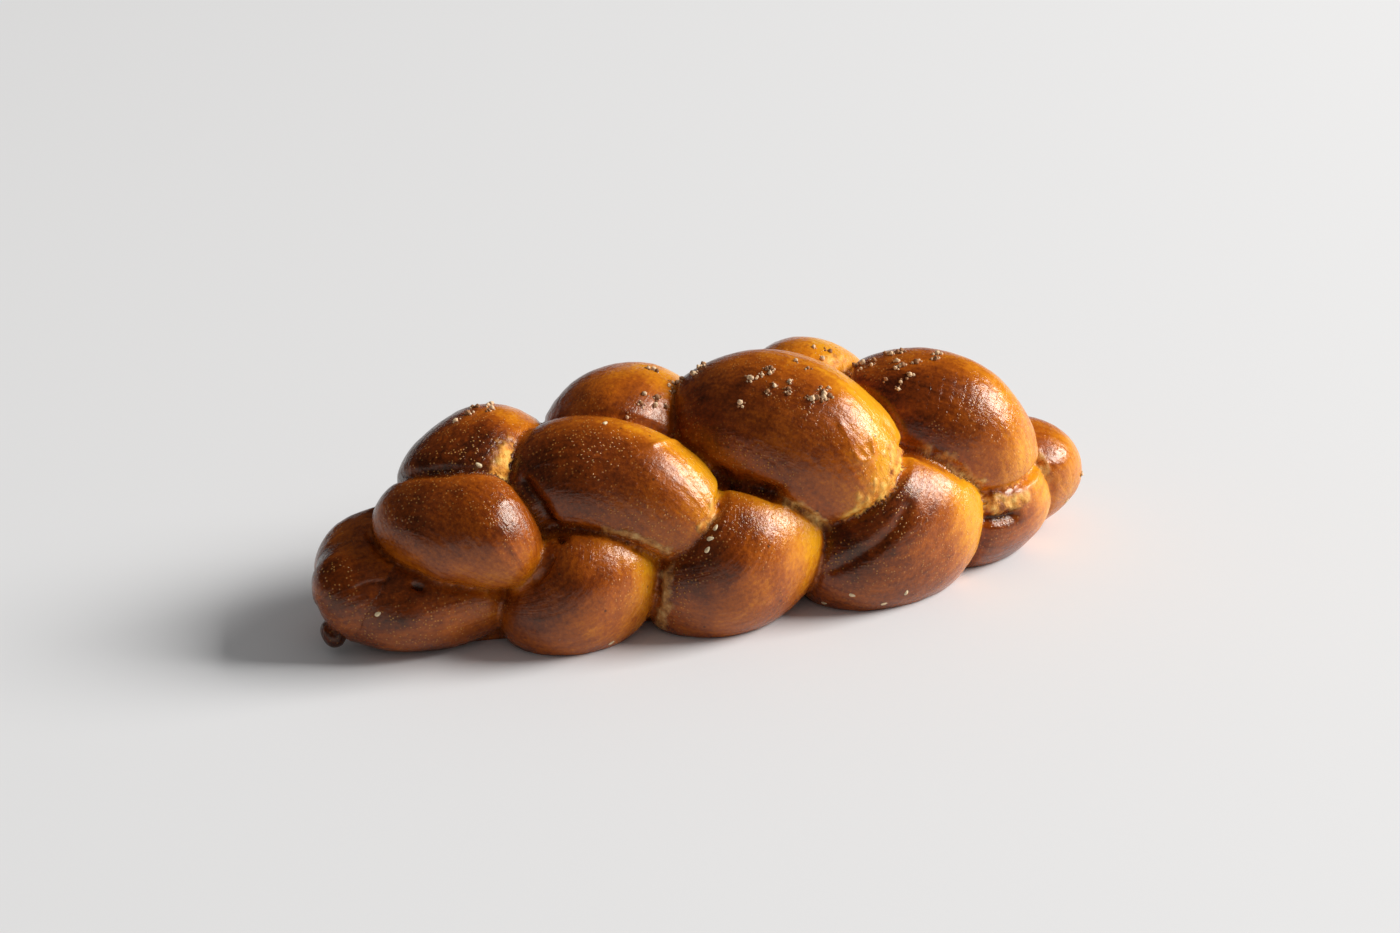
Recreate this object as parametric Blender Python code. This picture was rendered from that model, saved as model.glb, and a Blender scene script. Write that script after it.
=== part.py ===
"""A plaited challah loaf, baked as one piece, with sesame seeds and crumbs stuck to its crust.

Metres, +Z up. The loaf lies along X on its flat underside, and the side seen in the photo faces -Y.
A station is a distance along the loaf from its left tip. Each stretch of plaited strand that shows is
a bent, egg-shaped lobe whose two ends dive under its neighbours.
"""

import math
import random

import bmesh
import bpy
import numpy as np
from mathutils import Matrix, Vector
from mathutils.bvhtree import BVHTree

# The loaf as a whole
WIDEST_STATION = 0.194
LEFT_REACH = 0.200
RIGHT_REACH = 0.147
HALF_WIDTH = 0.063
CREST_HEIGHT = 0.097
MIDDLE_STATION = 0.165
AXIS_HEIGHT = 0.034
PLAIT_PITCH = 0.072
FRONT = 1
BACK = -1

# How a lobe runs in each row: start, middle and end as
# (pitches along the loaf, half widths across it with minus on the lobe's own side, crest heights up)
ROW_PATHS = {
    "upper": ((-0.50, 0.20, 0.50), (0.00, -0.26, 0.67), (0.50, -0.76, 0.37)),
    "lower": ((-0.54, -0.58, 0.24), (0.00, -0.58, 0.25), (0.43, -0.36, 0.54)),
}
# A lobe's radius away from the loaf's axis and sideways, in crest heights, and its widest place
ROW_RADII = {"upper": (0.335, 0.335, 0.53), "lower": (0.32, 0.37, 0.55)}

# Each plaited lobe: row, side, station, swelling, reach along the loaf, lift and sideways shift
PLAIT = (
    ("upper", FRONT, 0.053, 1.10, 0.66, 0.003, 0.000),
    ("upper", FRONT, 0.194, 1.09, 1.06, 0.001, 0.000),
    ("upper", FRONT, 0.265, 1.11, 1.05, 0.002, 0.000),
    ("upper", BACK, 0.072, 1.11, 0.95, 0.006, 0.000),
    ("upper", BACK, 0.138, 0.99, 0.96, 0.000, 0.000),
    ("upper", BACK, 0.220, 0.87, 1.00, 0.000, 0.000),
    ("upper", BACK, 0.286, 0.95, 0.90, 0.000, 0.000),
    ("lower", FRONT, 0.100, 0.99, 0.86, -0.002, -0.003),
    ("lower", FRONT, 0.163, 1.00, 1.00, 0.000, 0.000),
    ("lower", FRONT, 0.235, 1.14, 1.14, 0.000, 0.001),
    ("lower", FRONT, 0.286, 1.00, 0.95, 0.001, 0.000),
    ("lower", BACK, 0.048, 1.00, 0.80, 0.000, 0.000),
    ("lower", BACK, 0.112, 1.05, 0.95, 0.000, 0.000),
    ("lower", BACK, 0.186, 1.00, 1.00, 0.000, 0.000),
    ("lower", BACK, 0.256, 1.05, 1.05, 0.000, 0.000),
)

# The strands that leave the rows' pattern: the front one that crosses highest on the left, and those
# tucked in at the ends. Each has three (station, across, up) points, then its two radii
LOOSE_STRANDS = (
    ((0.073, -0.008, 0.050), (0.117, -0.016, 0.058), (0.158, -0.047, 0.036), 0.028, 0.028),
    ((0.062, 0.010, 0.034), (0.028, 0.011, 0.032), (0.006, 0.002, 0.022), 0.0185, 0.020),
    ((0.003, 0.005, 0.024), (0.037, -0.010, 0.018), (0.086, -0.010, 0.020), 0.020, 0.021),
    ((0.011, 0.002, 0.018), (0.005, -0.003, 0.010), (-0.001, -0.005, 0.0055), 0.0065, 0.0065),
    ((0.288, 0.010, 0.032), (0.316, -0.008, 0.024), (0.331, -0.024, 0.015), 0.024, 0.026),
    ((-0.003, 0.000, 0.023), (0.014, -0.003, 0.025), (0.036, -0.003, 0.024), 0.020, 0.019),
)

# The filling body under the lobes, in half widths and crest heights
CORE_STATIONS = (0.014, 0.322)
CORE_HALF_WIDTH = 0.60
CORE_HEIGHT = 0.66

# Sesame seeds: length, width and thickness, and how deep each one sits in the crust
SEED_SIZE = (0.0031, 0.0019, 0.0011)
SEED_SINK = 0.0003
# Each seed's station, its angle about the loaf from upright toward the front, and its heading
SEEDS = (
    (0.201, 122, 10),
    (0.208, 111, -20),
    (0.222, 115, 15),
    (0.231, 111, 80),
    (0.106, 122, 35),
    (0.331, 130, 70),
    (0.144, 82, 60),
    (0.146, 78, 20),
    (0.149, 74, 100),
    (0.117, 19, 0),
    (0.064, 18, 140),
    (0.016, 114, 30),
    (0.120, -70, 50),
    (0.154, -104, 10),
    (0.196, -60, 130),
    (0.203, -112, 70),
    (0.238, -95, 20),
    (0.262, -55, 100),
    (0.066, -88, 40),
    (0.292, -80, 160),
)

# Clumps of crumbs: station, angle, how far they spread, and how many grains
CRUMB_CLUMPS = (
    (0.182, 20, 0.0025, 5),
    (0.187, 28, 0.0030, 6),
    (0.203, 33, 0.0035, 8),
    (0.206, 18, 0.0030, 2),
    (0.172, 29, 0.0010, 1),
    (0.242, 2, 0.0040, 6),
    (0.252, 5, 0.0040, 6),
    (0.252, 18, 0.0025, 5),
    (0.247, 27, 0.0025, 3),
    (0.266, 16, 0.0020, 2),
    (0.080, -19, 0.0025, 6),
    (0.066, -14, 0.0020, 2),
    (0.153, -18, 0.0020, 3),
    (0.158, -10, 0.0035, 6),
    (0.147, 4, 0.0030, 4),
    (0.134, 9, 0.0025, 2),
    (0.167, -3, 0.0025, 4),
    (0.230, -7, 0.0035, 3),
    (0.337, 110, 0.0015, 1),
)
CRUMB_RADIUS = (0.0007, 0.0012)
CRUMB_SEED = 11

# Unevenness of each strand, as a share of its radius
LUMP_SHARE = 0.02
LUMP_SEED = 5

PROFILE_POWER = 2.3
RINGS = 20
SIDES = 18
CORE_RINGS = 16

CRUST_COLOUR = (0.33, 0.12, 0.028, 1.0)
CRUST_ROUGHNESS = 0.36


def clear_scene():
    for item in list(bpy.data.objects):
        bpy.data.objects.remove(item, do_unlink=True)


def taper(station):
    """Falls from 1 at the widest station to almost 0 at the loaf's tips."""
    reach = LEFT_REACH if station < WIDEST_STATION else RIGHT_REACH
    return max(1.0 - ((station - WIDEST_STATION) / reach) ** 2, 0.02)


def half_width(station):
    return HALF_WIDTH * taper(station) ** 0.75


def crest(station):
    return CREST_HEIGHT * taper(station) ** 0.5


def centreline(start, middle, end, count):
    """Points and directions of a curve through three points, closer together near its ends."""
    start, middle, end = (np.array(point) for point in (start, middle, end))
    control = 2.0 * middle - (start + end) / 2.0
    t = ((1.0 - np.cos(np.linspace(0.0, math.pi, count))) / 2.0)[:, None]
    points = (1.0 - t) ** 2 * start + 2.0 * t * (1.0 - t) * control + t**2 * end
    along = 2.0 * (1.0 - t) * (control - start) + 2.0 * t * (end - control)
    return t[:, 0], points, along / np.linalg.norm(along, axis=1)[:, None]


def closed_tube(name, rings, start_tip, end_tip):
    """A closed mesh of equal rings with a fan of triangles to a tip at each end."""
    count, sides = rings.shape[:2]
    vertices = [tuple(point) for point in rings.reshape(-1, 3)] + [tuple(start_tip), tuple(end_tip)]
    faces = []
    for i in range(count - 1):
        for j in range(sides):
            k = (j + 1) % sides
            faces.append((i * sides + j, i * sides + k, (i + 1) * sides + k, (i + 1) * sides + j))
    start, end, last = count * sides, count * sides + 1, (count - 1) * sides
    for j in range(sides):
        k = (j + 1) % sides
        faces.append((start, k, j))
        faces.append((end, last + j, last + k))
    mesh = bpy.data.meshes.new(name)
    mesh.from_pydata(vertices, [], faces)
    shape = bmesh.new()
    shape.from_mesh(mesh)
    bmesh.ops.recalc_face_normals(shape, faces=shape.faces)
    bmesh.ops.triangulate(shape, faces=shape.faces)
    shape.to_mesh(mesh)
    shape.free()
    return bpy.data.objects.new(name, mesh)


def lumps(place, angles, generator):
    """Shares by which a strand is fuller or thinner than an even egg, along and around it."""
    waves = np.ones((len(place), len(angles)))
    for along, around in ((2.0, 1), (3.5, 2), (5.0, 3)):
        shift, turn = generator.uniform(0.0, 2.0 * math.pi), generator.uniform(0.0, 2.0 * math.pi)
        wave = np.sin(along * place + shift)[:, None] * np.cos(around * angles + turn)[None, :]
        waves += LUMP_SHARE * wave
    return waves


def lobe(name, path, radius_out, radius_side, generator, widest=0.5):
    """A bent egg along a path, with one radius pointing away from the loaf's axis."""
    t, points, along = centreline(*path, RINGS)
    place = 2.0 * t ** (math.log(0.5) / math.log(widest)) - 1.0
    swell = np.sqrt(np.clip(1.0 - np.abs(place) ** PROFILE_POWER, 0.0, 1.0))
    out = points - np.array((0.0, 0.0, AXIS_HEIGHT))
    out[:, 0] = 0.0
    out -= (out * along).sum(axis=1)[:, None] * along
    out /= np.linalg.norm(out, axis=1)[:, None]
    side = np.cross(along, out)
    angles = np.linspace(0.0, 2.0 * math.pi, SIDES, endpoint=False)
    fullness = swell[:, None] * lumps(place, angles, generator)
    outward = (radius_out * fullness * np.cos(angles))[:, :, None] * out[:, None]
    sideways = (radius_side * fullness * np.sin(angles))[:, :, None] * side[:, None]
    rings = points[:, None] + outward + sideways
    return closed_tube(name, rings[1:-1], points[0], points[-1])


def plait_lobe(name, generator, row, side, station, swelling, reach, lift, shift):
    path = []
    for pitches, across, up in ROW_PATHS[row]:
        here = station + pitches * PLAIT_PITCH * reach
        y = side * (across * half_width(here) - shift)
        path.append((here - MIDDLE_STATION, y, up * crest(here) + lift))
    radius_out, radius_side, widest = ROW_RADII[row]
    size = crest(station) * swelling
    return lobe(name, path, radius_out * size, radius_side * size, generator, widest)


def end_lobe(name, generator, start, middle, end, radius_out, radius_side):
    path = [(station - MIDDLE_STATION, across, up) for station, across, up in (start, middle, end)]
    return lobe(name, path, radius_out, radius_side, generator)


def core():
    """The dough that shows only at the bottom of the creases, and the flat underside between lobes."""
    first, last = CORE_STATIONS
    turn = np.linspace(0.0, math.pi, CORE_RINGS + 2)
    stations = (first + last) / 2.0 - (last - first) / 2.0 * np.cos(turn)
    angles = np.linspace(0.0, 2.0 * math.pi, SIDES, endpoint=False)
    rings = []
    for station, fullness in zip(stations[1:-1], np.sin(turn[1:-1]) ** 0.4):
        wide = CORE_HALF_WIDTH * half_width(station) * fullness
        high = CORE_HEIGHT * crest(station) * fullness
        x = np.full(SIDES, station - MIDDLE_STATION)
        rings.append(np.stack([x, wide * np.cos(angles), 0.3 * high + 0.7 * high * np.sin(angles)], axis=1))
    tips = [(station - MIDDLE_STATION, 0.0, 0.1 * CREST_HEIGHT) for station in CORE_STATIONS]
    return closed_tube("core", np.array(rings), *tips)


def apply_boolean(target, operation, **operand):
    """Applies one Boolean modifier and leaves the target a plain mesh."""
    modifier = target.modifiers.new(operation.title(), "BOOLEAN")
    modifier.operation = operation
    modifier.solver = "EXACT"
    for key, value in operand.items():
        setattr(modifier, key, value)
    bpy.context.view_layer.update()
    evaluated = target.evaluated_get(bpy.context.evaluated_depsgraph_get())
    mesh = bpy.data.meshes.new_from_object(evaluated)
    target.modifiers.clear()
    target.data = mesh


def fuse(target, pieces):
    """Joins the pieces to the target with one union, then removes them."""
    group = bpy.data.collections.new("Pieces to fuse")
    bpy.context.scene.collection.children.link(group)
    for piece in pieces:
        group.objects.link(piece)
    apply_boolean(target, "UNION", operand_type="COLLECTION", collection=group)
    for piece in pieces:
        bpy.data.objects.remove(piece, do_unlink=True)
    bpy.data.collections.remove(group)


def cut_underside(target):
    """Takes away what hangs below the board that the loaf was baked on."""
    slab = bpy.data.objects.new("underside cutter", bpy.data.meshes.new("underside cutter"))
    shape = bmesh.new()
    bmesh.ops.create_cube(shape, size=1.0, matrix=Matrix.Translation((0.0, 0.0, -0.5)))
    shape.to_mesh(slab.data)
    shape.free()
    slab.hide_render = True
    slab.display_type = "WIRE"
    bpy.context.scene.collection.objects.link(slab)
    apply_boolean(target, "DIFFERENCE", object=slab)
    bpy.data.objects.remove(slab, do_unlink=True)


def keep_outer_surface(target):
    """Removes the walls of any hollow that the union sealed, which fills it."""
    shape = bmesh.new()
    shape.from_mesh(target.data)
    left = set(shape.verts)
    bodies = []
    while left:
        body = {left.pop()}
        edge_of_body = list(body)
        while edge_of_body:
            vertex = edge_of_body.pop()
            touching = {edge.other_vert(vertex) for edge in vertex.link_edges} & left
            left -= touching
            body |= touching
            edge_of_body.extend(touching)
        bodies.append(body)
    largest = max(bodies, key=len)
    bmesh.ops.delete(shape, geom=[v for v in shape.verts if v not in largest], context="VERTS")
    shape.to_mesh(target.data)
    shape.free()


def on_crust(tree, station, degrees):
    """The point and the outward normal of the crust at a station and an angle about the loaf."""
    angle = math.radians(degrees)
    outward = Vector((0.0, -math.sin(angle), math.cos(angle)))
    axis = Vector((station - MIDDLE_STATION, 0.0, AXIS_HEIGHT))
    point, normal = tree.ray_cast(axis + outward * 2.0 * CREST_HEIGHT, -outward)[:2]
    return point, normal


def lay_on(piece, point, normal, heading, sink):
    """Turns a piece so that its thickness points out of the crust, and sets it in a little."""
    turn = normal.to_track_quat("Z", "Y").to_matrix().to_4x4() @ Matrix.Rotation(heading, 4, "Z")
    piece.data.transform(Matrix.Translation(point - normal * sink) @ turn)


def sesame_seed(name):
    """A flat drop: rounded at one end and pointed at the other."""
    length, width, thickness = SEED_SIZE
    angles = np.linspace(0.0, 2.0 * math.pi, 6, endpoint=False)
    rings = []
    for x, share in ((-0.30, 0.80), (0.0, 1.0), (0.28, 0.62)):
        y = width / 2.0 * share * np.cos(angles)
        z = thickness / 2.0 * share * np.sin(angles)
        rings.append(np.stack([np.full(6, x * length), y, z], axis=1))
    return closed_tube(name, np.array(rings), (-length / 2.0, 0.0, 0.0), (length / 2.0, 0.0, 0.0))


def crumb(name, radius, generator):
    """A rough grain."""
    shape = bmesh.new()
    bmesh.ops.create_icosphere(shape, subdivisions=1, radius=radius)
    for vertex in shape.verts:
        vertex.co *= generator.uniform(0.8, 1.2)
    mesh = bpy.data.meshes.new(name)
    shape.to_mesh(mesh)
    shape.free()
    return bpy.data.objects.new(name, mesh)


def toppings(loaf):
    """Every seed and crumb, each laid on the crust under it."""
    shape = bmesh.new()
    shape.from_mesh(loaf.data)
    tree = BVHTree.FromBMesh(shape)
    shape.free()
    pieces = []
    for n, (station, degrees, heading) in enumerate(SEEDS):
        piece = sesame_seed(f"seed {n}")
        lay_on(piece, *on_crust(tree, station, degrees), math.radians(heading), SEED_SINK)
        pieces.append(piece)
    generator = random.Random(CRUMB_SEED)
    for n, (station, degrees, spread, count) in enumerate(CRUMB_CLUMPS):
        for grain in range(count):
            here = station + generator.gauss(0.0, spread)
            there = degrees + math.degrees(generator.gauss(0.0, spread) / HALF_WIDTH)
            radius = generator.uniform(*CRUMB_RADIUS)
            piece = crumb(f"crumb {n} {grain}", radius, generator)
            lay_on(piece, *on_crust(tree, here, there), generator.uniform(0.0, math.pi), -0.4 * radius)
            pieces.append(piece)
    return pieces


def centre(target):
    """Puts the origin at the middle of the underside."""
    corners = np.array([vertex.co for vertex in target.data.vertices])
    middle = (corners.min(axis=0) + corners.max(axis=0)) / 2.0
    target.data.transform(Matrix.Translation((-middle[0], -middle[1], -corners[:, 2].min())))


def crust_material():
    material = bpy.data.materials.new("Baked crust")
    material.use_nodes = True
    shader = material.node_tree.nodes["Principled BSDF"]
    shader.inputs["Base Color"].default_value = CRUST_COLOUR
    shader.inputs["Roughness"].default_value = CRUST_ROUGHNESS
    shader.inputs["Metallic"].default_value = 0.0
    return material


def build_loaf():
    loaf = core()
    loaf.name = "loaf"
    bpy.context.scene.collection.objects.link(loaf)
    generator = random.Random(LUMP_SEED)
    lobes = [plait_lobe(f"plait lobe {n}", generator, *line) for n, line in enumerate(PLAIT)]
    lobes += [end_lobe(f"end lobe {n}", generator, *line) for n, line in enumerate(LOOSE_STRANDS)]
    fuse(loaf, lobes)
    cut_underside(loaf)
    fuse(loaf, toppings(loaf))
    keep_outer_surface(loaf)
    centre(loaf)
    loaf.data.materials.clear()
    loaf.data.materials.append(crust_material())
    return loaf


clear_scene()
build_loaf()
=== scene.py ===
"""Looks of a plaited challah loaf: glossy baked crust, torn seams, sesame seeds and crumbs, in metres.

The strands repeat the CAD's named sizes, so the crust lies where the solid does. They are fused by a
voxel remesh, and the seams, creases, wrinkles and torn dough are then moved in the fine mesh itself. Each
point also keeps how toasted and how torn it is, which the crust's material reads. The toast also holds
painted light on the sides, right ends and crests facing the key light, and painted shade on the sides
turned away from it, on the underparts, in the seams and in the deepest creases.
"""

import math
import random
from dataclasses import dataclass

import bmesh
import bpy
import numpy as np
from mathutils import Matrix, Vector, noise
from mathutils.bvhtree import BVHTree


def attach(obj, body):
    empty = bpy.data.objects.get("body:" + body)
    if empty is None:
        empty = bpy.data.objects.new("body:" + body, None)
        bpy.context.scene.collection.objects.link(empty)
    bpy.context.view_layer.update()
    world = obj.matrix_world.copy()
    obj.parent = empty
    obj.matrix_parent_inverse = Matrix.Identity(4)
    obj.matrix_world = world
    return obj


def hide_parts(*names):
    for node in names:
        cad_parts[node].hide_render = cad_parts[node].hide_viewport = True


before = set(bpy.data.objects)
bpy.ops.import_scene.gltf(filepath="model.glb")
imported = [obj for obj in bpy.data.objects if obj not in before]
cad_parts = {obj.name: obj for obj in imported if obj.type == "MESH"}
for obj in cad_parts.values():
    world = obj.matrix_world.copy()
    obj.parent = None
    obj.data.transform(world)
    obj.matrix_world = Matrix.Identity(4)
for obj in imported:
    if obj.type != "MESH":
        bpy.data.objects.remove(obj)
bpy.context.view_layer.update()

# The loaf as a whole
WIDEST_STATION = 0.194
LEFT_REACH = 0.200
RIGHT_REACH = 0.147
HALF_WIDTH = 0.063
CREST_HEIGHT = 0.097
MIDDLE_STATION = 0.165
AXIS_HEIGHT = 0.034
PLAIT_PITCH = 0.072
TO_PART_ORIGIN = (-0.00413, 0.00100, 0.0)
FRONT = 1
BACK = -1
# How the loaf tapers: the least share left at the tips, and how that share acts on width and height
TIP_SHARE = 0.02
WIDTH_POWER = 0.75
CREST_POWER = 0.5
# A distance in metres that nothing on the loaf reaches, and how many points are measured at a time
FAR = 1.0
BATCH = 20000
# How far a noise is moved from one seed to the next, how steep its ridges are, and how far apart two
# strands' noises are
NOISE_STEP = (17.3, 5.1, 9.7)
RIDGE_STEEPNESS = 3.2
STRAND_STEP = 0.1

# How a lobe runs in each row: start, middle and end as
# (pitches along the loaf, half widths across it with minus on the lobe's own side, crest heights up)
ROW_PATHS = {
    "upper": ((-0.50, 0.20, 0.50), (0.00, -0.26, 0.67), (0.50, -0.76, 0.37)),
    "lower": ((-0.54, -0.58, 0.24), (0.00, -0.58, 0.25), (0.43, -0.36, 0.54)),
}
# A lobe's radius away from the loaf's axis and sideways, in crest heights, and its widest place
ROW_RADII = {"upper": (0.335, 0.335, 0.53), "lower": (0.32, 0.37, 0.55)}

# Each plaited lobe: row, side, station, swelling, reach along the loaf, lift and sideways shift
PLAIT = (
    ("upper", FRONT, 0.053, 1.10, 0.66, 0.003, 0.000),
    ("upper", FRONT, 0.194, 1.09, 1.06, 0.001, 0.000),
    ("upper", FRONT, 0.265, 1.11, 1.05, 0.002, 0.000),
    ("upper", BACK, 0.072, 1.11, 0.95, 0.006, 0.000),
    ("upper", BACK, 0.138, 0.99, 0.96, 0.000, 0.000),
    ("upper", BACK, 0.220, 0.87, 1.00, 0.000, 0.000),
    ("upper", BACK, 0.286, 0.95, 0.90, 0.000, 0.000),
    ("lower", FRONT, 0.100, 0.99, 0.86, -0.002, -0.003),
    ("lower", FRONT, 0.163, 1.00, 1.00, 0.000, 0.000),
    ("lower", FRONT, 0.235, 1.14, 1.14, 0.000, 0.001),
    ("lower", FRONT, 0.286, 1.00, 0.95, 0.001, 0.000),
    ("lower", BACK, 0.048, 1.00, 0.80, 0.000, 0.000),
    ("lower", BACK, 0.112, 1.05, 0.95, 0.000, 0.000),
    ("lower", BACK, 0.186, 1.00, 1.00, 0.000, 0.000),
    ("lower", BACK, 0.256, 1.05, 1.05, 0.000, 0.000),
)

# The strands that leave the rows' pattern: the front one that crosses highest on the left, and those
# tucked in at the ends. Each has three (station, across, up) points, then its two radii
LOOSE_STRANDS = (
    ((0.073, -0.008, 0.050), (0.117, -0.016, 0.058), (0.158, -0.047, 0.036), 0.028, 0.028),
    ((0.062, 0.010, 0.034), (0.028, 0.011, 0.032), (0.006, 0.002, 0.022), 0.0185, 0.020),
    ((0.003, 0.005, 0.024), (0.037, -0.010, 0.018), (0.086, -0.010, 0.020), 0.020, 0.021),
    ((0.011, 0.002, 0.018), (0.005, -0.003, 0.010), (-0.001, -0.005, 0.0055), 0.0065, 0.0065),
    ((0.288, 0.010, 0.032), (0.316, -0.008, 0.024), (0.331, -0.024, 0.015), 0.024, 0.026),
    ((-0.003, 0.000, 0.023), (0.014, -0.003, 0.025), (0.036, -0.003, 0.024), 0.020, 0.019),
)

# The filling body under the lobes, in half widths and crest heights: how blunt its ends are, and how
# high its axis lies as a share of its height
CORE_STATIONS = (0.014, 0.322)
CORE_HALF_WIDTH = 0.60
CORE_HEIGHT = 0.66
CORE_BLUNTNESS = 0.4
CORE_AXIS = 0.3

# Unevenness of each strand, as a share of its radius, in waves along it and around it
LUMP_SHARE = 0.02
LUMP_WAVES = ((2.0, 1), (3.5, 2), (5.0, 3))
LUMP_SEED = 5

# How blunt a strand is, the rings and sides that draw it, and the voxel that fuses all of them
PROFILE_POWER = 2.3
RINGS = 48
SIDES = 44
VOXEL = 0.0009

# Strands that are one folded strand at the left end. The seam between them is only faint, and they run
# into each other where the gap between them is small: fully near the tip, and by a share farther off
FOLDED = (16, 17, 20)
FAINT_SEAM = 0.08
FOLD_GAP = (0.003, 0.012)
FOLD_STATIONS = (0.012, 0.034)
FOLD_SHARE = 0.25
FOLD_ROUNDS = 90

# How toasted the crust is, from golden at 0 to darkest at 1, with painted light and shade in it: its even
# level, what its toasted sides (partly painted shade), the painted shade on its underparts and in its
# seams add, and what golden dough and the way to a strand's right end take off, both partly painted light
TOAST_LEVEL = 0.47
SIDE_TOAST_AND_SHADE = 0.30
PAINTED_SHADE_BELOW = 0.11
PAINTED_SEAM_SHADE = 0.24
GOLDEN_AND_LIT_LIGHTER = 0.45
RIGHT_END_GOLDEN_AND_LIT = 0.12
# The direction of every strand's most toasted side, the same at the front and the back, and from how much
# of it to how much the toast sets in. It is partly oven browning and partly painted shade on the side
# turned away from the key light
TOASTED_AND_SHADED_SIDE = (-0.45, 0.68, 0.58)
TOASTED_AND_SHADED_RANGE = (0.50, 0.98)
# The same for the golden side, which also counts the place along the strand, toward its right end. It is
# partly stretched, less baked dough and partly painted light on the side facing the key light
GOLDEN_AND_LIT_SIDE = (0.85, 0.0, 0.22)
GOLDEN_AND_LIT_PLACE = 0.55
GOLDEN_AND_LIT_RANGE = (0.14, 0.85)
# The same for the painted shade on the underparts and for a little painted light on the crests, by how far
# they face down and up
PAINTED_SHADE_BELOW_RANGE = (-0.1, 0.6)
PAINTED_CREST_LIGHT_RANGE = (0.80, 1.0)
PAINTED_CREST_LIGHT = 0.16
# Painted shade in the deepest hollows: the crease depth from which the crust is painted darker, and how
# much darker per metre
HOLLOW_DEPTH = 0.0019
PAINTED_HOLLOW_SHADE = 220.0
# How golden and how lit each strand's right end is, with painted light toward the key light: the upper
# rows, the front lower row, the back one, the loose ones. The first upper strand's weight is below zero,
# which paints the shadow that the strand crossing above it casts on its right end
GOLDEN_AND_LIT_ENDS = (
    (-0.30, 0.85, 0.45, 0.60, 0.55, 0.65, 0.50)
    + (0.80, 1.00, 0.95, 0.85)
    + (0.40, 0.50, 0.50, 0.45)
    + (0.80, 0.15, 0.15, 0.00, 0.25, 0.00)
)
# How much darker each strand is baked than the rest, in the same order
TOAST = (
    (0.02, -0.01, 0.01, 0.16, -0.04, -0.12, -0.05)
    + (-0.03, 0.00, 0.04, 0.06)
    + (0.05, 0.00, 0.00, 0.05)
    + (0.04, 0.04, 0.09, 0.50, 0.00, 0.09)
)

# How deep the crust dips where two strands meet, and how far from the seam
SEAM_DEPTH = 0.0040
SEAM_WIDTH = 0.0016

# Unevenness of the crust as (height, distance between lumps)
SWELLINGS = (0.00070, 0.024)
DIMPLES = (0.00016, 0.008)
WRINKLES = (0.00012, 0.0034)
FIBRES = (0.00024, 0.0022)
TORN_LUMPS = (0.00055, 0.0017)
# The patches that have wrinkles: how far apart they are, and over what values of their noise they fade in
PATCH_SPACING = 0.018
PATCH_RANGE = (-0.25, 0.45)
# Scales that draw fibres and torn ribbons out: along the strand, around it and from strand to strand
ALONG_FIBRES = (0.16, 1.0, 1.0)
ALONG_RIBBONS = (1.0, 0.35, 1.0)
# Over which places on a strand its dough gets more stretched, and the height of the fibres before them
STRETCHED_RANGE = (-0.1, 0.8)
RELAXED_FIBRES = 0.25
# The heights above the table over which all relief sets in, so that the underside stays flat
RELIEF_HEIGHTS = (0.0005, 0.006)

# Creases and folds: depth (a ridge where negative), width, then their (station, angle) points
CREASES = (
    (0.0016, 0.0027, ((0.231, 79), (0.225, 85), (0.216, 91), (0.206, 97), (0.200, 102))),
    (-0.0008, 0.0009, ((0.206, 46), (0.211, 58), (0.214, 60), (0.219, 58), (0.219, 52))),
    (-0.0009, 0.0012, ((0.131, 36), (0.137, 34), (0.145, 30), (0.154, 28))),
    (0.0012, 0.0007, ((0.084, 29), (0.088, 31), (0.091, 33))),
    (-0.0003, 0.0008, ((0.064, 45), (0.071, 43), (0.078, 46), (0.080, 52))),
    (0.0014, 0.0010, ((0.118, 80), (0.123, 84), (0.127, 87))),
    (0.0011, 0.0009, ((0.009, 90), (0.014, 86), (0.021, 87))),
    (0.0032, 0.0016, ((0.032, 92), (0.034, 94))),
    (0.0016, 0.0028, ((0.103, -96), (0.112, -88), (0.124, -84))),
    (-0.0008, 0.0010, ((0.165, -52), (0.172, -60), (0.180, -58))),
    (0.0014, 0.0030, ((0.262, -80), (0.272, -88), (0.280, -99))),
    (0.0034, 0.0030, ((0.080, 32), (0.084, 47), (0.088, 59), (0.090, 68))),
    (0.0034, 0.0032, ((0.160, 48), (0.165, 57), (0.172, 61), (0.179, 65))),
    (0.0020, 0.0020, ((0.229, 47), (0.234, 54), (0.240, 54))),
    (0.0022, 0.0016, ((0.084, 78), (0.081, 84), (0.077, 91))),
    (0.0036, 0.0026, ((0.278, 98), (0.284, 99), (0.290, 99))),
    (0.0028, 0.0034, ((0.243, 55), (0.249, 61), (0.257, 67), (0.264, 74))),
)

# The ragged edge of torn dough, in noises of (share of its reach, distance between lumps, seed), and the
# share of its reach from which it fades
RAGGED_EDGE = ((0.45, 0.005, 21), (0.35, 0.0022, 22))
TORN_RANGE = (0.30, 1.0)
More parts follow.
